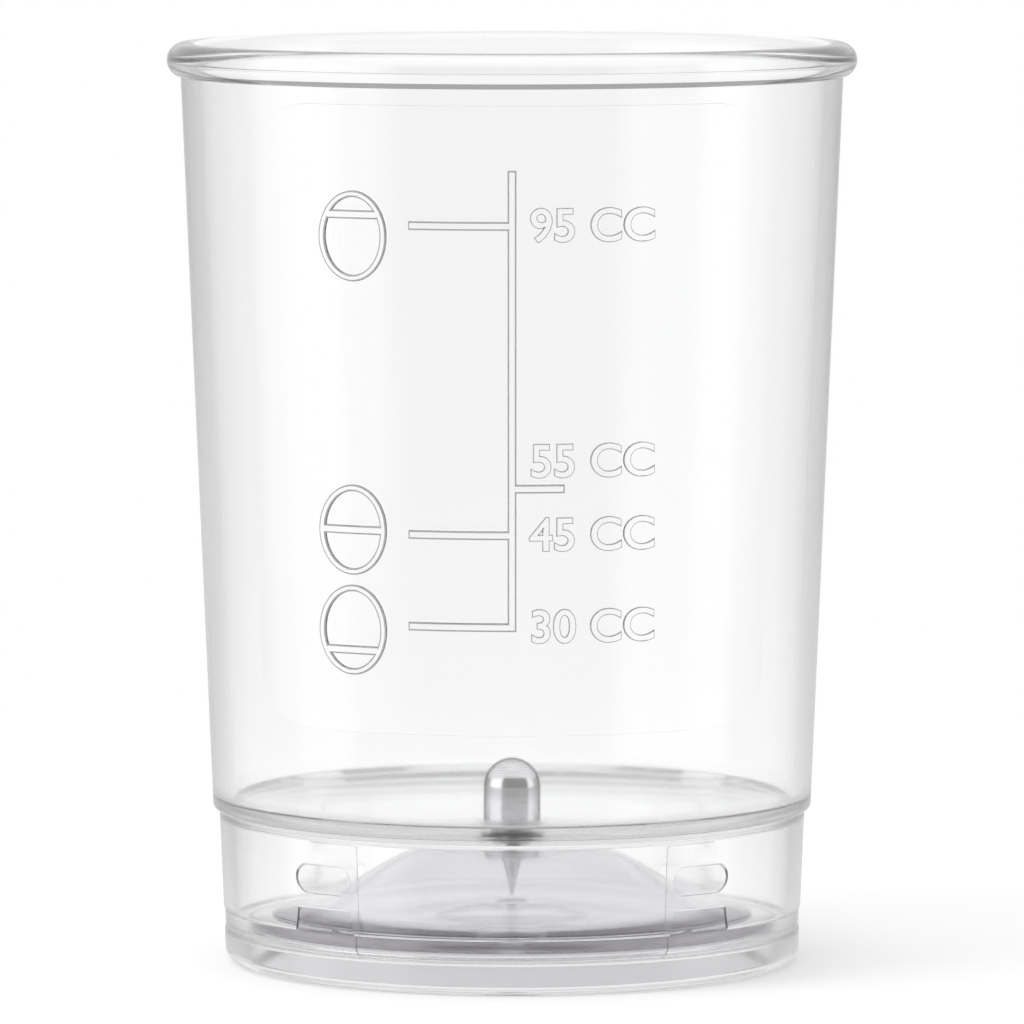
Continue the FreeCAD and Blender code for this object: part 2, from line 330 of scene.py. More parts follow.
def outline_curve(outlines):
    """Filled flat curve with closed outlines; one inside another is a hole."""
    curve = bpy.data.curves.new("outline", "CURVE")
    curve.dimensions = "2D"
    for outline in outlines:
        spline = curve.splines.new("POLY")
        spline.points.add(len(outline) - 1)
        for point, place in zip(spline.points, outline):
            point.co = (place.x, place.y, 0, 1)
        spline.use_cyclic_u = True
    return curve


def flat_plate(curve, low, high, softness, spread=0.0):
    """Mesh of a filled curve between two depths, spread and soft at its edges, cut into strips."""
    curve.fill_mode = "BOTH"
    curve.bevel_depth = softness
    curve.bevel_resolution = 2
    curve.offset = spread - softness
    curve.extrude = (high - low) / 2 - softness
    drawn = new_piece("drawn", curve)
    mesh = plain_mesh(drawn)
    bpy.data.objects.remove(drawn)
    stand_up = Matrix(((1, 0, 0, 0), (0, 0, 1, (low + high) / 2), (0, 1, 0, 0), (0, 0, 0, 1)))
    mesh.transform(stand_up)
    tidy_mesh(mesh)
    shape = bmesh.new()
    shape.from_mesh(mesh)
    left = min(vert.co.x for vert in shape.verts)
    right = max(vert.co.x for vert in shape.verts)
    for i in range(math.ceil(left / strip_width), math.ceil(right / strip_width)):
        everything = shape.verts[:] + shape.edges[:] + shape.faces[:]
        cut = Vector((i * strip_width, 0, 0))
        bmesh.ops.bisect_plane(shape, geom=everything, plane_co=cut, plane_no=Vector((1, 0, 0)))
    shape.to_mesh(mesh)
    shape.free()
    return mesh


def wrapped(name, mesh, table_radius, material, per_side=1, snap_angle=0.0, sides=1, straight=0.0, pull=0.0):
    """Flat mesh bent onto the wall, once or at each snap place, with radial or straight flanks."""
    piece = new_piece(name, mesh)
    run_tree(piece, wrapped_on_wall, {
        "Table Radius": table_radius, "Draft": draft, "Per Side": per_side,
        "Snap Angle": snap_angle, "Sides": sides, "Material": material,
        "Straight Pull": straight, "Pull Depth": pull})
    return piece


def carve(piece, tool, operation):
    """Join another closed mesh to a piece, or cut it out, and keep plain mesh."""
    boolean = piece.modifiers.new(operation, "BOOLEAN")
    boolean.operation = operation
    boolean.solver = "MANIFOLD"
    boolean.object = tool
    finish = piece.data.materials[0]
    piece.data = plain_mesh(piece)
    piece.modifiers.clear()
    piece.data.materials.clear()
    piece.data.materials.append(finish)
    piece.data.polygons.foreach_set("material_index", [0] * len(piece.data.polygons))
    bpy.data.objects.remove(tool)


# %% [markdown]
# ## True normals
# After joining and cutting, the big turned surfaces are covered in long thin faces, and plain
# smooth shading would show them as streaks in clear plastic. The section is known, so each
# face that lies on it gets the exact normal of the turned surface. The faces left over are the
# flanks of raised signs: they keep their own normal and are marked in an attribute, and so is
# the tight corner under the rim's bead, so that the material can paint shade on them as fine dark lines.

# %% Normals from the section
crease = math.radians(28)
wall_like = math.radians(5)
steep = math.radians(60)
on_section = 0.02 * mm
on_panel = 0.085 * mm
panel_flank = (0.01 * mm, 0.8 * on_panel)
sign_flank = 1.4 * on_panel
sliver_share = 0.0001
faint_painted_shade = 0.35


def section_normals(section, closed):
    """Start, end and end normals of each run of a section, smooth where runs meet gently."""
    points = np.array([tuple(point) for point in section])
    following = np.roll(points, -1, axis=0)
    starts, ends = (points, following) if closed else (points[:-1], following[:-1])
    along = ends - starts
    along /= np.linalg.norm(along, axis=1)[:, None]
    flat = np.stack([along[:, 1], -along[:, 0]], axis=1)

    def blended(neighbour):
        gentle = (flat * neighbour).sum(axis=1) > math.cos(crease)
        mixed = np.where(gentle[:, None], flat + neighbour, flat)
        return mixed / np.linalg.norm(mixed, axis=1)[:, None]

    return starts, ends, blended(np.roll(flat, 1, axis=0)), blended(np.roll(flat, -1, axis=0)), flat


def true_normals(piece, section, closed=True, painted_shade_corner=(0.0, 0.0)):
    """Give the turned and wrapped faces of a piece exact normals, and mark all others as flanks to get painted
    shade, as well as raised faces in the given corner band.
    """
    mesh = piece.data
    painted_shade = np.zeros(len(mesh.polygons))
    mesh.shade_smooth()
    starts, ends, first, last, flat = section_normals(section, closed)
    runs = ends - starts
    length2 = (runs ** 2).sum(axis=1)
    on_wall = np.array([1, -draft]) / math.hypot(1, draft)
    corners = np.zeros((len(mesh.loops), 3))
    turned_faces = 0
    for face in mesh.polygons:
        around = math.atan2(face.center.y, face.center.x)
        out = Vector((math.cos(around), math.sin(around)))
        normal = np.array([face.normal.xy.dot(out), face.normal.z])
        centre = np.array([face.center.xy.length, face.center.z])
        share = np.clip(((centre - starts) * runs).sum(axis=1) / length2, 0, 1)
        gap = np.linalg.norm(starts + runs * share[:, None] - centre, axis=1)
        gap[np.abs(flat @ normal) < math.cos(crease)] = math.inf
        best = int(np.argmin(gap))
        like_wall = normal @ on_wall
        rim = [mesh.vertices[i].co for i in face.vertices]
        around_face = sum((start - end).length for start, end in zip(rim, rim[1:] + rim[:1]))
        sliver = face.area < sliver_share * around_face ** 2
        raised = centre[0] - body_radius(centre[1])
        on_step = panel_flank[0] < raised < panel_flank[1] or raised > sign_flank
        slack = wall_like if on_step else steep
        for loop in face.loop_indices:
            place = mesh.vertices[mesh.loops[loop].vertex_index].co
            radius = max(place.xy.length, 0.001 * mm)
            if gap[best] < on_section:
                offset = np.array([radius, place.z]) - starts[best]
                part = min(1, max(0, offset @ runs[best] / length2[best]))
                slant = first[best] * (1 - part) + last[best] * part
                slant *= math.copysign(1, flat[best] @ normal) / np.linalg.norm(slant)
            elif sliver or abs(like_wall) > math.cos(slack):
                slant = on_wall * math.copysign(1, like_wall)
            else:
                corners[loop] = face.normal
                # Painted shade weight: full on a sign's flanks, faint on the panel's low edge.
                painted_shade[face.index] = 1.0 if raised > on_panel else faint_painted_shade if raised > 0 else 0.0
                continue
            corners[loop] = (slant[0] * place.x / radius, slant[0] * place.y / radius, slant[1])
        # Raised faces in the corner band get full painted shade: a dark line painted into the tight corner.
        if raised > 0 and painted_shade_corner[0] < centre[1] < painted_shade_corner[1]:
            painted_shade[face.index] = 1.0
        turned_faces += gap[best] < on_section
    mesh.normals_split_custom_set(corners.tolist())
    # The attribute holds the painted shade that the cup's material reads.
    mesh.attributes.new("flank", "FLOAT", "FACE").data.foreach_set("value", painted_shade)
    print(piece.name, len(mesh.polygons), "faces,", turned_faces, "on the turned section")


# %% [markdown]
# ## Clear plastic
# The cup is moulded in clear styrene: polished, almost colourless, a little grey where one
# looks along a wall. A Principled shader with full transmission gives the gloss and bending
# of light, and a thin absorption gives the grey of thick places. The inner pieces bend light
# less than the cup, because many clear layers in a row would otherwise turn black. Lamps are
# let through by a Transparent shader on shadow rays, so that the shadow stays light.

# %% Shared surface effects


def shader_group(name, inputs, outputs):
    group = bpy.data.node_groups.new(name, "ShaderNodeTree")
    for label, value in inputs.items():
        kind = "NodeSocketVector" if value is None else "NodeSocketFloat"
        socket = group.interface.new_socket(label, in_out="INPUT", socket_type=kind)
        if value is not None:
            socket.default_value = value
    for label in outputs:
        group.interface.new_socket(label, in_out="OUTPUT", socket_type="NodeSocketFloat")
    return group, group.nodes.new("NodeGroupInput").outputs, group.nodes.new("NodeGroupOutput").inputs


def handling_marks():
    """Fine hairlines and soft smudges that any handled smooth surface picks up."""
    group, entry, end = shader_group(
        "HandlingMarks", {"Vector": None, "Hairlines": 400.0, "Smudges": 60.0}, ["Roughness", "Height"])
    stretch = add_node(
        group, "ShaderNodeMapping", Vector=entry["Vector"], Rotation=(0.4, 0.3, 0.6), Scale=(1, 1, 0.06))
    lines = add_node(
        group, "ShaderNodeTexNoise", Vector=stretch.outputs[0], Scale=entry["Hairlines"], Detail=2.0)
    hair = add_node(group, "ShaderNodeMapRange", Value=lines.outputs["Fac"], From_Min=0.62, From_Max=0.72)
    cloud = add_node(group, "ShaderNodeTexNoise", Vector=entry["Vector"], Scale=entry["Smudges"], Detail=3.0)
    smudge = add_node(group, "ShaderNodeMapRange", Value=cloud.outputs["Fac"], From_Min=0.4, From_Max=0.75)
    marks = calc(group, "MAXIMUM", hair.outputs[0], calc(group, "MULTIPLY", smudge.outputs[0], 0.5))
    group.links.new(marks, end["Roughness"])
    group.links.new(hair.outputs[0], end["Height"])
    return group


marks_group = handling_marks()
print("group:", marks_group.name)

# %% The clear plastic
lamp_tint = (0.9, 0.9, 0.905)


def new_material(name):
    material = bpy.data.materials.new(name)
    material.use_nodes = True
    tree = material.node_tree
    return material, tree, tree.nodes["Principled BSDF"], tree.nodes["Material Output"]


def clear_plastic(name, tint, smoke, thickness_grey, polish, bending):
    """Clear moulded plastic with a tint, a smoke colour for thick places and a roughness range."""
    material, tree, principled, output = new_material(name)
    place = add_node(tree, "ShaderNodeTexCoord").outputs["Object"]
    marks = add_node(tree, "ShaderNodeGroup", node_tree=marks_group, Vector=place)
    rough = add_node(
        tree, "ShaderNodeMapRange", Value=marks.outputs["Roughness"], To_Min=polish[0], To_Max=polish[1])
    bump = add_node(tree, "ShaderNodeBump", Height=marks.outputs["Height"], Strength=0.02, Distance=0.02 * mm)
    tree.links.new(rough.outputs[0], principled.inputs["Roughness"])
    tree.links.new(bump.outputs[0], principled.inputs["Normal"])
    principled.inputs["Base Color"].default_value = (*tint, 1)
    principled.inputs["Transmission Weight"].default_value = 1.0
    principled.inputs["IOR"].default_value = bending
    see_through = add_node(tree, "ShaderNodeBsdfTransparent", Color=(*lamp_tint, 1))
    path = add_node(tree, "ShaderNodeLightPath")
    mixed = add_node(tree, "ShaderNodeMixShader", Fac=path.outputs["Is Shadow Ray"])
    tree.links.new(principled.outputs[0], mixed.inputs[1])
    tree.links.new(see_through.outputs[0], mixed.inputs[2])
    tree.links.new(mixed.outputs[0], output.inputs["Surface"])
    grey = add_node(tree, "ShaderNodeVolumeAbsorption", Color=(*smoke, 1), Density=thickness_grey)
    tree.links.new(grey.outputs[0], output.inputs["Volume"])
    return material


cup_tint, cup_smoke = (0.99, 0.992, 0.994), (0.5, 0.5, 0.52)
inner_tint, inner_smoke = (0.985, 0.984, 0.988), (0.5, 0.48, 0.52)
bell_tint = (0.95, 0.946, 0.956)
cup_plastic = clear_plastic("ClearCupPlastic", cup_tint, cup_smoke, 10.0, (0.05, 0.09), 1.5)
base_plastic = clear_plastic("ClearBasePlastic", inner_tint, inner_smoke, 25.0, (0.1, 0.15), 1.35)
seat_plastic = clear_plastic("ClearSeatPlastic", inner_tint, inner_smoke, 45.0, (0.05, 0.1), 1.35)
bell_plastic = clear_plastic("ClearBellPlastic", bell_tint, inner_smoke, 80.0, (0.05, 0.1), 1.2)
print("materials:", cup_plastic.name, base_plastic.name, seat_plastic.name, bell_plastic.name)

# %% [markdown]
# ## Painted shade lines and satin on the cup
# A raised sign in clear plastic shows only at its flanks, which turn light away and look like
# fine dark lines. These are painted: the marked faces, and the corner under the rim's bead, get a
# darker base colour as painted shade. Where the floor, the wall and the ledge meet, a mould is parted and
# polished less, so a narrow ring there is satin.

# %% Painted line shade and satin of the cup alone
# How dark the painted shade on flanks and the bead's corner is, as a share of the tint.
painted_line_shade = 0.18
satin_level = floor_edge - 0.4 * mm
satin_radius = body_inside(floor_edge) - 0.3 * mm
satin_band = (1.0 * mm, 1.5 * mm)
satin_rough = 0.14


def soft_step(tree, value, band, start=0.0, end=1.0):
    """Smooth change from one value to another while a number crosses a band."""
    step = add_node(
        tree, "ShaderNodeMapRange", interpolation_type="SMOOTHSTEP", Value=value,
        From_Min=band[0], From_Max=band[1], To_Min=start, To_Max=end)
    return step.outputs[0]


def shade_lines(tree, principled, tint):
    """Paint shade on the faces marked as flanks: a darker base colour that stands for the dark lines light
    draws there.
    """
    flank = add_node(tree, "ShaderNodeAttribute", attribute_name="flank")
    colour = add_node(tree, "ShaderNodeMix", data_type="RGBA")
    tree.links.new(flank.outputs["Fac"], colour.inputs["Factor"])
    colour.inputs["A"].default_value = (*tint, 1)
    colour.inputs["B"].default_value = (*(painted_line_shade * share for share in tint), 1)
    tree.links.new(colour.outputs["Result"], principled.inputs["Base Color"])


def satin_corner(tree, principled):
    """Roughen a narrow ring round the edge of the floor."""
    polished = principled.inputs["Roughness"].links[0].from_socket
    place = add_node(tree, "ShaderNodeTexCoord").outputs["Object"]
    across, depth, height = add_node(tree, "ShaderNodeSeparateXYZ", Vector=place).outputs
    off_level = calc(tree, "ABSOLUTE", calc(tree, "SUBTRACT", height, satin_level))
    near_level = soft_step(tree, off_level, satin_band, satin_rough, 0.0)
    depth_squared = calc(tree, "MULTIPLY", depth, depth)
    radius = calc(tree, "SQRT", calc(tree, "MULTIPLY_ADD", across, across, depth_squared))
    satin = calc(tree, "MULTIPLY", near_level, calc(tree, "GREATER_THAN", radius, satin_radius))
    tree.links.new(calc(tree, "MAXIMUM", polished, satin), principled.inputs["Roughness"])


cup_tree = cup_plastic.node_tree
cup_principled = cup_tree.nodes["Principled BSDF"]
# Painted shade: flanks and the bead's corner get a darker base colour.
shade_lines(cup_tree, cup_principled, cup_tint)
satin_corner(cup_tree, cup_principled)
print("satin ring at", round(satin_level / mm, 2), "mm")

# %% [markdown]
# ## The cup
# One moulding: a drafted wall with a bead round the rim, a dished floor with a hole for the
# pin, and a thinner skirt below a small ledge. The section runs once round the wall, from the
# pin hole under the floor, out and up the outside, over the bead and back down the inside.

# %% Section of the cup
edge_round = 0.12 * mm
bead_radius = 1.45 * mm
bead_middle = cup_high.x - bead_radius
bead_level = rim_top - bead_radius
neck_radius = body_radius(rim_top - 2 * bead_radius)
neck_level = bead_level - math.sqrt(bead_radius ** 2 - (neck_radius - bead_middle) ** 2)
pin_hole = 0.88 * mm
floor_flat = 8.0 * mm
floor_sweep = 70.0 * mm
floor_thickness = floor_top - floor_underside
lip_round = 0.9 * (bead_middle - body_inside(rim_top))

below = rounded([
    (pin_hole, floor_underside, 0),
    (floor_flat, floor_underside, floor_sweep),
    (skirt_inside(floor_edge - floor_thickness), floor_edge - floor_thickness, 0.4 * mm),
    (skirt_inside(skirt_bottom), skirt_bottom, edge_round),
    (skirt_radius(skirt_bottom), skirt_bottom, edge_round),
    (skirt_radius(ledge), ledge, 0),
    (body_radius(ledge), ledge, 0.45 * mm),
    (neck_radius, neck_level, 0),
], closed=False)
neck_angle = math.atan2(neck_level - bead_level, neck_radius - bead_middle)
bead = arc(Vector((bead_middle, bead_level)), bead_radius, neck_angle, math.pi / 2)
above = rounded([
    (bead_middle, rim_top, 0),
    (body_inside(rim_top), rim_top, lip_round),
    (body_inside(floor_edge), floor_edge, 0.5 * mm),
    (floor_flat, floor_top, floor_sweep),
    (seal_high.x, floor_top, 0),
    (seal_high.x, seal_low.z, 0),
    (pin_hole, seal_low.z, 0),
], closed=False)
cup_section = below[:-1] + bead + above[1:]
cup = turned("clear_cup", cup_section, cup_plastic)
print("cup section:", len(cup_section), "points")

# %% [markdown]
# ## The fill scale
# Raised lines on the front wall show how much water to pour. They are clear like the wall, so
# only their soft edges show. Each sign is joined to the wall as one solid, because a separate
# sign would leave a false surface inside the plastic. Plain amounts of water stand beside the
# lines.

# %% Signs of the fill scale
relief_root = -0.4 * mm
relief_height = 0.25 * mm
relief_soft = 0.14 * mm
panel_height = 0.08 * mm
line_width = 0.72 * mm
body_at_table = body_radius(0)


def bar(left, right, bottom, top, rounding=0.0):
    corners = [(left, bottom), (right, bottom), (right, top), (left, top)]
    return rounded([(*corner, rounding) for corner in corners])


def ellipse(centre, half_width, half_height, steps=64):
    turns = [2 * math.pi * i / steps for i in range(steps)]
    return [centre + Vector((half_width * math.cos(a), half_height * math.sin(a))) for a in turns]


def raise_sign(curve, height=relief_height, softness=relief_soft):
    """Join a flat sign to the front wall of the cup."""
    mesh = flat_plate(curve, relief_root, height, softness)
    carve(cup, wrapped("sign", mesh, body_at_table, cup_plastic), "UNION")


panel_top = floor_top + 61.2 * mm
panel_bottom = floor_top + 10.0 * mm
panel_half = 20.8 * mm
panel_lean = 0.35 * mm
panel_corner = 4.5 * mm
panel = rounded([
    (-panel_half + panel_lean, panel_bottom, panel_corner),
    (panel_half - panel_lean, panel_bottom, panel_corner),
    (panel_half + panel_lean, panel_top, panel_corner),
    (-panel_half - panel_lean, panel_top, panel_corner),
])
raise_sign(outline_curve([panel]), panel_height, 0.06 * mm)
print("panel:", len(cup.data.polygons), "faces")

# %% Stem, ticks and eggs
levels = {30: 18.9 * mm, 45: 26.4 * mm, 55: 30.2 * mm, 95: 51.5 * mm}
egg_signs = {30: (-0.5 * mm, -1.65 * mm), 45: (0.2 * mm, 0.0), 95: (-0.95 * mm, 1.75 * mm)}
long_tick = (-8.35 * mm, 0)
short_tick = (0, 4.25 * mm)
half_line = line_width / 2
stem_top = floor_top + 56.0 * mm
stem_bottom = floor_top + levels[30] - half_line
raise_sign(outline_curve([bar(-half_line, half_line, stem_bottom, stem_top)]))
for amount, level in levels.items():
    ends = long_tick if amount in egg_signs else short_tick
    middle = floor_top + level
    raise_sign(outline_curve([bar(*ends, middle - half_line, middle + half_line)]))

egg_place = -12.85 * mm
egg_half_width = 2.75 * mm
egg_half_height = 3.7 * mm
egg_line = 0.55 * mm
for amount, (rise, bar_rise) in egg_signs.items():
    centre = Vector((egg_place, floor_top + levels[amount] + rise))
    shell = ellipse(centre, egg_half_width, egg_half_height)
    hollow = ellipse(centre, egg_half_width - egg_line, egg_half_height - egg_line)
    raise_sign(outline_curve([shell, hollow]))
    reach = egg_half_width * math.sqrt(1 - (bar_rise / egg_half_height) ** 2) - egg_line / 2
    water = centre.y + bar_rise
    raise_sign(outline_curve([bar(centre.x - reach, centre.x + reach, water - half_line, water + half_line)]))
print("scale:", len(cup.data.polygons), "faces")

# %% Plain numbers
number_left = 1.41 * mm
number_height = 2.75 * mm
cap_share = 0.73
number_soft = 0.08 * mm
number_spread = 0.11 * mm
number_rise = {30: -1.2 * mm, 45: -1.2 * mm, 55: 1.0 * mm, 95: -1.2 * mm}
for amount, rise in number_rise.items():
    text = bpy.data.curves.new("number", "FONT")
    text.body = f"{amount} CC"
    text.size = number_height / cap_share
    mesh = flat_plate(text, relief_root, relief_height, number_soft, spread=number_spread)
    mesh.transform(Matrix.Translation((number_left, 0, floor_top + levels[amount] + rise)))
    carve(cup, wrapped("number", mesh, body_at_table, cup_plastic), "UNION")
print("numbers:", len(cup.data.polygons), "faces")

# %% [markdown]
# ## Windows and notches in the skirt
# Four oval windows take the lugs of the base ring and four notches take its tabs. They are
# cut through the skirt with wrapped cutters, which the tree repeats left, right and behind.

# %% Cutting the skirt
snap_angle = math.radians(39.5)
skirt_at_table = skirt_radius(0)
slot_level = skirt_bottom + 4.4 * mm
slot_length = 5.75 * mm
slot_height = 2.4 * mm
tab_top = skirt_bottom + 1.95 * mm
arm_root = ring_low.z + 2.8 * mm
snap_clearance = 0.04 * mm
half_straight = 0.65
arm_wide = 6.7 * mm
arm_narrow = 5.3 * mm
cut_past = 0.6 * mm
finger_out = -skirt_wall - 0.15 * mm


def oval(shrink):
    half_height = slot_height / 2 - shrink
    half_length = slot_length / 2 - shrink
    bottom, top = slot_level - half_height, slot_level + half_height
    return bar(-half_length, half_length, bottom, top, 0.99 * half_height)


def arm(bottom, top, spread):
    """Trapezoid of a snap arm between two heights."""
    def half_width(z):
        share = (z - arm_root) / (tab_top - arm_root)
        return (arm_wide + (arm_narrow - arm_wide) * share) / 2 + spread

    corner = 0.25 * mm
    return rounded([
        (-half_width(bottom), bottom, 0), (half_width(bottom), bottom, 0),
        (half_width(top), top, corner), (-half_width(top), top, corner)])


def at_snaps(name, outline, low, high, softness, straight=half_straight, pull=0.0):
    mesh = flat_plate(outline_curve([outline]), low, high, softness)
    return wrapped(name, mesh, skirt_at_table, base_plastic, 2, snap_angle, 2, straight, pull)


sharp = 0.02 * mm
carve(cup, at_snaps("window", oval(0), finger_out, cut_past, sharp), "DIFFERENCE")
notch = arm(skirt_bottom - cut_past, tab_top + snap_clearance, snap_clearance)
carve(cup, at_snaps("notch", notch, finger_out, cut_past, sharp), "DIFFERENCE")
# The band under the bead is marked for painted shade, a dark line in its tight corner.
under_bead = (neck_level, bead_level - 0.62 * bead_radius)
true_normals(cup, cup_section, painted_shade_corner=under_bead)

# %% [markdown]
# ## The base ring
# The foot ring snaps into the skirt. It is a turned section too: a narrow foot, a band that
# closes the skirt, and a thin lip inside on which the egg seat lies. Four arms rise from it,
# each with a tab that fills a notch, a finger behind the skirt and a lug in the oval window.

# %% Turning the ring
foot_height = 2.8 * mm
band_recess = 0.1 * mm
lip_radius = 19.8 * mm
lip_top = foot_height + 0.5 * mm
inner_foot = skirt_radius(0) - 2.3 * mm
finger_in = finger_out - 0.45 * mm
seat_recess = skirt_radius(skirt_bottom) + finger_in
ring_section = rounded([
    (inner_foot, 0, edge_round),
    (skirt_radius(0), 0, 1.2 * mm),
    (skirt_radius(foot_height), foot_height, 0.06 * mm),
    (skirt_radius(foot_height) - band_recess, foot_height, 0),
    (skirt_radius(skirt_bottom) - band_recess, skirt_bottom, edge_round),
    (seat_recess, skirt_bottom, edge_round),
    (seat_recess, lip_top, 0.05 * mm),
    (lip_radius, lip_top, 0.2 * mm),
    (lip_radius, foot_height, 0.2 * mm),
    (inner_foot, foot_height, 0.6 * mm),
])
ring = turned("base_foot_ring", ring_section, base_plastic)
print("ring section:", len(ring_section), "points")

# %% Windows and arms of the ring
window_half = base_radius * math.sin(snap_angle) - arm_wide / 2 * math.cos(snap_angle)
window_corner = 0.8 * mm
window = bar(-window_half, window_half, foot_height, skirt_bottom + 2 * window_corner, window_corner)
window_mesh = flat_plate(outline_curve([window]), -0.5 * mm, cut_past, sharp)
nail_window = wrapped(
    "nail_window", window_mesh, skirt_at_table, base_plastic, sides=2, straight=half_straight)
carve(ring, nail_window, "DIFFERENCE")
finger_middle = (finger_in + finger_out) / 2
rooted = skirt_bottom - 0.3 * mm
finger_top = floor_edge - floor_thickness - 0.55 * mm
finger_half = 5.6 * mm / 2
arm_soft = 0.08 * mm
carve(ring, at_snaps("tab", arm(rooted, tab_top, 0), finger_middle, -band_recess, arm_soft), "UNION")
finger = bar(-finger_half, finger_half, rooted, finger_top, 0.4 * mm)
carve(ring, at_snaps("finger", finger, finger_in, finger_out, 0.1 * mm, 1.0, finger_middle), "UNION")
carve(ring, at_snaps("lug", oval(snap_clearance), finger_middle, -band_recess, arm_soft), "UNION")
true_normals(ring, ring_section)

# %% [markdown]
# ## The egg seat
# A round plate that lies on the base ring's lip: flat at its rim, with a low dome in the middle
# for the blunt end of an egg and a hole that the needle comes through. It slides up when the
# egg is pressed, so it rides on its own body.

# %% Turning the seat
seat_radius = seat_high.x
seat_bottom = seat_low.z
seat_thickness = 1.15 * mm
seat_dome = seat_high.z - seat_thickness - seat_bottom
seat_top = seat_bottom + seat_thickness
seat_hole = 1.24 * mm
crown = 3.5 * mm
brim = 9.5 * mm
crown_sweep = 15 * mm
brim_sweep = 30 * mm
seat_section = rounded([
    (seat_hole, seat_bottom + seat_dome, 0.1 * mm),
    (crown, seat_bottom + seat_dome, crown_sweep),
    (brim, seat_bottom, brim_sweep),
    (seat_radius, seat_bottom, 0.25 * mm),
    (seat_radius, seat_top, 0.25 * mm),
    (brim, seat_top, brim_sweep),
    (crown, seat_high.z, crown_sweep),
    (seat_hole, seat_high.z, 0.1 * mm),
])
seat = turned("egg_seat_plate", seat_section, seat_plastic)
true_normals(seat, seat_section)

# %% [markdown]
# ## The bell spring
# A thin clear bell between the seat and the cup floor pushes the seat down again. It is turned
# like the rest: a narrow crest under the floor with room in its middle for the needle, and a
# long sloping leg that ends in a thin edge near the seat's rim.

# %% Turning the bell
crest = spring_high.z
foot = spring_low.z
foot_radius = spring_high.x - 1.5 * mm
leaf = 0.5 * mm
bore = 3.0 * mm
crest_end = 8.0 * mm
knee = 15.5 * mm
knee_rise = 0.85 * mm
bend = 12 * mm
thin_edge = 0.15 * mm
spring_section = rounded([
    (bore, crest, 0.15 * mm),
    (crest_end, crest, bend),
    (knee, foot + knee_rise + leaf, bend),
    (foot_radius, foot + thin_edge, 0.04 * mm),
    (foot_radius, foot, 0.04 * mm),
    (knee, foot + knee_rise, bend),
    (crest_end, crest - leaf, bend),
    (bore, crest - leaf, 0.15 * mm),
])
spring = turned("bell_leaf_spring", spring_section, bell_plastic)
true_normals(spring, spring_section)

# %% [markdown]
# ## Turned steel
# The pin and needle are turned from stainless bar: fine rings round the metal, a soft satin
# gleam, and small marks from handling. The rings come from a wave along the height, and the
# marks from the same group as the plastic's. Steel mirrors less just before its outline, which
# a metal's Specular Tint gives, so that the round pin stands out from the clear cup.

# %% The steel
edge_shine = (0.08, 0.08, 0.085)


def turned_steel():
    material, tree, principled, _ = new_material("TurnedSteel")
    place = add_node(tree, "ShaderNodeTexCoord").outputs["Object"]
    rings = add_node(
        tree, "ShaderNodeTexWave", bands_direction="Z", Vector=place,
        Scale=1500.0, Distortion=3.0, Detail=3.0, Detail_Scale=2.0)
    marks = add_node(
        tree, "ShaderNodeGroup", node_tree=marks_group, Vector=place, Hairlines=900.0, Smudges=300.0)
    half_rings = calc(tree, "MULTIPLY", rings.outputs["Fac"], 0.5)
    worn = calc(tree, "MULTIPLY_ADD", marks.outputs["Roughness"], 0.5, half_rings)
    rough = add_node(tree, "ShaderNodeMapRange", Value=worn, To_Min=0.08, To_Max=0.22)
    colour = add_node(tree, "ShaderNodeMix", data_type="RGBA")
    tree.links.new(rings.outputs["Fac"], colour.inputs["Factor"])
    colour.inputs["A"].default_value = (0.64, 0.64, 0.65, 1)
    colour.inputs["B"].default_value = (0.84, 0.84, 0.85, 1)
    bump = add_node(tree, "ShaderNodeBump", Height=rings.outputs["Fac"], Strength=0.02, Distance=0.01 * mm)
    tree.links.new(colour.outputs["Result"], principled.inputs["Base Color"])
    tree.links.new(rough.outputs[0], principled.inputs["Roughness"])
    tree.links.new(bump.outputs[0], principled.inputs["Normal"])
    principled.inputs["Metallic"].default_value = 1.0
    principled.inputs["Specular Tint"].default_value = (*edge_shine, 1)
    return material


steel = turned_steel()
print("material:", steel.name)

# %% Pin and needle
pin_radius = pin_high.x
shank = 0.85 * mm
grip = 2.4 * mm
pin_section = rounded([
    (0, floor_top + grip, 0),
    (pin_hole, floor_top + grip, 0),
    (pin_hole, floor_top, 0),
    (pin_radius, floor_top, 0.15 * mm),
    (pin_radius, pin_high.z, 0.999 * pin_radius),
    (0, pin_high.z, 0),
], closed=False)
pin = turned("domed_pin", pin_section, steel, steps=96, closed=False)
true_normals(pin, pin_section, closed=False)
collar_bottom = floor_underside - 0.5 * mm
needle_root = 0.84 * mm
needle_section = rounded([
    (0, needle_low.z, 0),
    (0.1 * mm, needle_low.z, 0.04 * mm),
    (needle_root, collar_bottom, 0.1 * mm),
    (pin_radius, collar_bottom, edge_round),
    (pin_radius, floor_underside, edge_round),
    (shank, floor_underside, 0),
    (shank, needle_high.z, 0.1 * mm),
    (0, needle_high.z, 0),
], closed=False)
needle = turned("collared_needle", needle_section, steel, steps=96, closed=False)
true_normals(needle, needle_section, closed=False)

# %% [markdown]
# ## The seal
# A small silicone washer under the pin keeps the cup watertight. Its solid is already right,
# so it keeps its own mesh and only gets a milky, slightly dusty rubber finish.

# %% Milky silicone


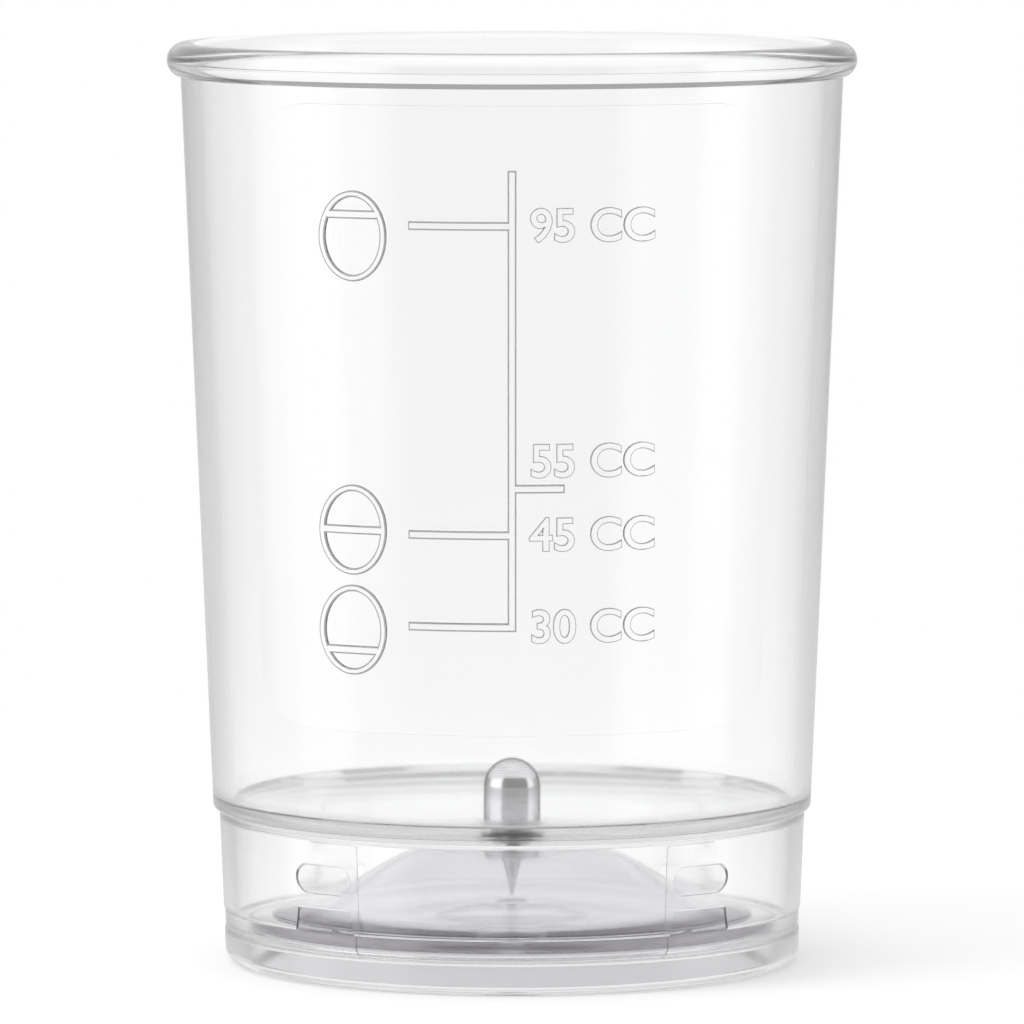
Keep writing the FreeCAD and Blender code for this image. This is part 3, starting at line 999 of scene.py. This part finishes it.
def milky_silicone():
    material, tree, principled, _ = new_material("MilkySilicone")
    place = add_node(tree, "ShaderNodeTexCoord").outputs["Object"]
    marks = add_node(
        tree, "ShaderNodeGroup", node_tree=marks_group, Vector=place, Hairlines=700.0, Smudges=500.0)
    colour = add_node(tree, "ShaderNodeMix", data_type="RGBA")
    tree.links.new(marks.outputs["Roughness"], colour.inputs["Factor"])
    colour.inputs["A"].default_value = (0.85, 0.86, 0.87, 1)
    colour.inputs["B"].default_value = (0.76, 0.77, 0.78, 1)
    rough = add_node(tree, "ShaderNodeMapRange", Value=marks.outputs["Roughness"], To_Min=0.5, To_Max=0.7)
    tree.links.new(colour.outputs["Result"], principled.inputs["Base Color"])
    tree.links.new(rough.outputs[0], principled.inputs["Roughness"])
    return material


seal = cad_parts["pin_seal"]
silicone = milky_silicone()
seal.data.materials.clear()
seal.data.materials.append(silicone)
print("seal:", seal.name, silicone.name)

# %% [markdown]
# ## Bodies
# Every piece moves with one body of the frame and hides the solid it stands for.

# %% Riding on the bodies
pieces = {
    "cup_body": (cup, "cup", "clear_plastic"),
    "base_ring": (ring, "cup", "clear_plastic"),
    "egg_seat": (seat, "seat", "clear_plastic"),
    "bell_spring": (spring, "cup", "clear_plastic"),
    "pin_cap": (pin, "cup", "turned_steel"),
    "piercing_needle": (needle, "cup", "turned_steel"),
}
for node, (piece, body, slot) in pieces.items():
    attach(piece, body)
    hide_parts(node)
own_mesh(spring)

# %% [markdown]
# ## Stage
# A clear thing is seen by what it bends and mirrors. What shows straight through it is white
# all round, as on a light table. What its surfaces mirror is a plain studio: a tall soft panel
# on the left and one on the right, a dark camera side, a pale grey wall behind, a light ceiling
# and a floor that darkens underfoot, so that each rounded edge draws a soft grey line. Rays
# that have crossed many clear layers see a lighter studio, because stray light fills it.

# %% World
surround = {
    -180: 0.75, -150: 0.6, -120: 0.45, -106: 0.5, -98: 1.5, -50: 1.6, -38: 0.18,
    66: 0.18, 74: 1.3, 96: 1.2, 106: 0.5, 120: 0.45, 150: 0.6, 180: 0.75}
ceiling = 1.0
ambient = 0.85
above_tilt, above_band = 0.3, (0.33, 0.43)
below_tilt, below_band = 0.015, (0.138, 0.198)
under_band, under_share = (0.35, 0.6), 0.35
layers_band, layers_share = (3.5, 7.0), 0.8


def straight_through(tree):
    """1 for a ray that has met no mirror on its way, 0 for one that has."""
    path = add_node(tree, "ShaderNodeLightPath")
    return calc(tree, "LESS_THAN", path.outputs["Glossy Depth"], 0.5), path


def mirrored_studio(tree):
    """Brightness of the surround by direction, from 0 degrees at the front to 90 on the right."""
    towards = add_node(tree, "ShaderNodeTexCoord").outputs["Generated"]
    across, depth, up = add_node(tree, "ShaderNodeSeparateXYZ", Vector=towards).outputs
    turn = calc(tree, "ARCTAN2", across, calc(tree, "MULTIPLY", depth, -1))
    share = add_node(tree, "ShaderNodeMapRange", Value=turn, From_Min=-math.pi, From_Max=math.pi)
    ramp = add_node(tree, "ShaderNodeValToRGB", Fac=share.outputs[0])
    stops = ramp.color_ramp.elements
    for angle in list(surround)[1:-1]:
        stops.new((angle + 180) / 360)
    for stop, light in zip(stops, surround.values()):
        stop.color = (light, light, light, 1)
    above = soft_step(tree, calc(tree, "MULTIPLY_ADD", depth, above_tilt, up), above_band)
    down = calc(tree, "MULTIPLY", up, -1)
    below = soft_step(tree, calc(tree, "MULTIPLY_ADD", depth, below_tilt, down), below_band)
    under = soft_step(tree, down, under_band, 1.0, under_share)
    path = add_node(tree, "ShaderNodeLightPath")
    layers = soft_step(tree, path.outputs["Transmission Depth"], layers_band, end=layers_share)
    open_light = calc(tree, "MAXIMUM", calc(tree, "MAXIMUM", above, below), layers)
    light = add_node(tree, "ShaderNodeMix", data_type="FLOAT", Factor=open_light, B=ceiling)
    tree.links.new(ramp.outputs["Color"], light.inputs["A"])
    return calc(tree, "MULTIPLY", light.outputs["Result"], under)


def stage_world():
    world = bpy.data.worlds.new("StudioSurround")
    scene.world = world
    world.use_nodes = True
    tree = world.node_tree
    tree.nodes.clear()
    straight, path = straight_through(tree)
    lit = add_node(tree, "ShaderNodeMix", data_type="FLOAT", Factor=path.outputs["Is Diffuse Ray"])
    tree.links.new(mirrored_studio(tree), lit.inputs["A"])
    lit.inputs["B"].default_value = ambient
    clear = calc(tree, "MULTIPLY", straight, calc(tree, "SUBTRACT", 1, path.outputs["Is Diffuse Ray"]))
    seen = add_node(tree, "ShaderNodeMix", data_type="FLOAT", Factor=clear)
    tree.links.new(lit.outputs["Result"], seen.inputs["A"])
    seen.inputs["B"].default_value = 1.0
    background = add_node(tree, "ShaderNodeBackground", Color=(1, 1, 1, 1), Strength=seen.outputs["Result"])
    output = tree.nodes.new("ShaderNodeOutputWorld")
    tree.links.new(background.outputs[0], output.inputs["Surface"])


stage_world()
print("world:", scene.world.name)

# %% [markdown]
# ## Floor and lamp
# The cup stands on a pale matt floor that takes its shadow close by and turns white further
# out. Mirrored rays pass through it to the studio. One soft lamp on the left casts the shadow.

# %% Floor
floor_half = 4.0
shadow_band = (0.05, 0.2)
least_white = 0.3


def floor_finish():
    material, tree, principled, output = new_material("PaleFloor")
    tree.nodes.remove(principled)
    place = add_node(tree, "ShaderNodeTexCoord").outputs["Object"]
    away = add_node(tree, "ShaderNodeVectorMath", operation="LENGTH")
    tree.links.new(place, away.inputs[0])
    far = soft_step(tree, away.outputs["Value"], shadow_band)
    straight, path = straight_through(tree)
    shown = calc(tree, "SUBTRACT", 1, path.outputs["Is Diffuse Ray"])
    share = calc(tree, "MULTIPLY", calc(tree, "MAXIMUM", far, least_white), shown)
    matt = add_node(tree, "ShaderNodeBsdfDiffuse", Color=(0.9, 0.9, 0.9, 1))
    white = add_node(tree, "ShaderNodeEmission", Color=(1, 1, 1, 1), Strength=1.0)
    mixed = add_node(tree, "ShaderNodeMixShader", Fac=share)
    tree.links.new(matt.outputs[0], mixed.inputs[1])
    tree.links.new(white.outputs[0], mixed.inputs[2])
    unseen = add_node(tree, "ShaderNodeBsdfTransparent")
    kept = add_node(tree, "ShaderNodeMixShader", Fac=straight)
    tree.links.new(unseen.outputs[0], kept.inputs[1])
    tree.links.new(mixed.outputs[0], kept.inputs[2])
    tree.links.new(kept.outputs[0], output.inputs["Surface"])
    return material


floor_mesh = bpy.data.meshes.new("floor")
floor_corners = [(-1, -1), (1, -1), (1, 1), (-1, 1)]
floor_mesh.from_pydata([(x * floor_half, y * floor_half, 0) for x, y in floor_corners], [], [(0, 1, 2, 3)])
floor = new_piece("floor", floor_mesh)
floor.data.materials.append(floor_finish())
print("floor:", 2 * floor_half, "m square")

# %% Lamps


def softbox(name, place, size, power):
    lamp = bpy.data.lights.new(name, "AREA")
    lamp.size = size
    lamp.energy = power
    box = bpy.data.objects.new(name, lamp)
    scene.collection.objects.link(box)
    box.location = place
    aim = Vector((0, 0, rim_top / 2)) - Vector(place)
    box.rotation_euler = aim.to_track_quat("-Z", "Y").to_euler()
    box.visible_glossy = False
    box.visible_transmission = False


softbox("key_left", (-0.45, -0.25, 0.6), 0.35, 3.6)
print("lamps:", [light.name for light in bpy.data.lights])

# %% [markdown]
# ## Camera
# The photograph is a long-lens view from slightly above: the rim shows as a thin ellipse and
# the base as a wider one. The distance and height come from how those two ellipses differ.
# Light can bounce many times inside clear walls, so the bounce limits are high.

# %% The camera
camera_data = bpy.data.cameras.new("camera")
camera_data.sensor_width = 36.0
camera_data.lens = 320.3
camera = bpy.data.objects.new("camera", camera_data)
scene.collection.objects.link(camera)
camera.location = (0, -0.760, 0.1037)
camera_target = Vector((0, 0, 0.03766))
aim = camera_target - camera.location
camera.rotation_euler = aim.to_track_quat("-Z", "Y").to_euler()
scene.camera = camera
scene.view_settings.view_transform = "Standard"
bounces = 64
scene.cycles.max_bounces = bounces
scene.cycles.transmission_bounces = bounces
scene.cycles.glossy_bounces = bounces
scene.cycles.transparent_max_bounces = 24
print("camera", round(camera.location.length, 3), "m away")
